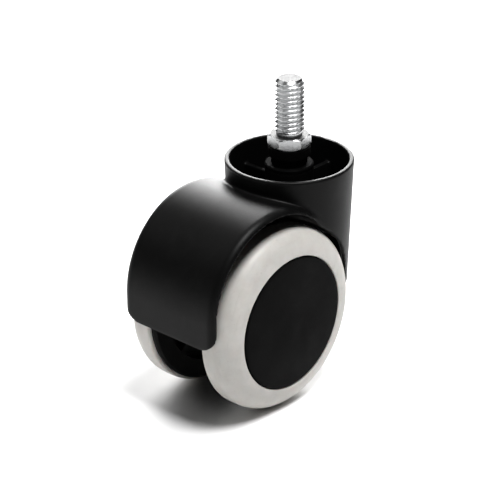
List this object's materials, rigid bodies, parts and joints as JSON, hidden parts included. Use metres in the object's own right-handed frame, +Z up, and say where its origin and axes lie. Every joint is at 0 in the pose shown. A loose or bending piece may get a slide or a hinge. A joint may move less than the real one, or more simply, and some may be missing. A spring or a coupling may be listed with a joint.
{
  "type": "twin-wheel swivel castor",
  "caption": "Hooded twin-wheel castor with soft treads, an open neck cup and a threaded stem, for the foot of a chair or a small cabinet.",
  "frame": {"origin": "on the swivel axis, in the stem's shoulder plane where the thread starts", "axes": "+Z up along the stem, +X forward on the side that the stem leads on, +Y along the axle to the left wheel"},
  "size_m": [0.0633, 0.0384, 0.0826],
  "materials": {
    "zinc_steel": "bright zinc plate, fine turning marks",
    "spring_steel": "blued spring steel",
    "housing_plastic": "fine-textured black nylon",
    "core_plastic": "plain black nylon",
    "cap_plastic": "fine-textured black plastic",
    "bush_plastic": "natural acetal",
    "collar_plastic": "black acetal and rubber",
    "soft_tread": "pale warm grey polyurethane, satin"
  },
  "bodies": {
    "stem": {"threaded_stem": "zinc_steel", "snap_ring": "spring_steel", "dust_ring": "collar_plastic"},
    "housing": {"housing": "housing_plastic", "swivel_bush": "collar_plastic", "lower_bush": "bush_plastic", "thrust_pad": "spring_steel", "axle": "zinc_steel", "left_spacer": "bush_plastic", "right_spacer": "bush_plastic", "left_axle_clip": "spring_steel", "right_axle_clip": "spring_steel"},
    "left_wheel": {"left_wheel_core": "core_plastic", "left_tread": "soft_tread", "left_hub_cap": "cap_plastic", "left_hub_bush": "bush_plastic"},
    "right_wheel": {"right_wheel_core": "core_plastic", "right_tread": "soft_tread", "right_hub_cap": "cap_plastic", "right_hub_bush": "bush_plastic"}
  },
  "joints": [
    {"name": "swivel", "type": "hinge", "parent": "stem", "child": "housing", "pos_m": [0, 0, 0], "axis": [0, 0, 1], "continuous": true},
    {"name": "left_wheel_spin", "type": "hinge", "parent": "housing", "child": "left_wheel", "pos_m": [-0.019, 0, -0.0421], "axis": [0, 1, 0], "continuous": true},
    {"name": "right_wheel_spin", "type": "hinge", "parent": "housing", "child": "right_wheel", "pos_m": [-0.019, 0, -0.0421], "axis": [0, 1, 0], "continuous": true}
  ]
}
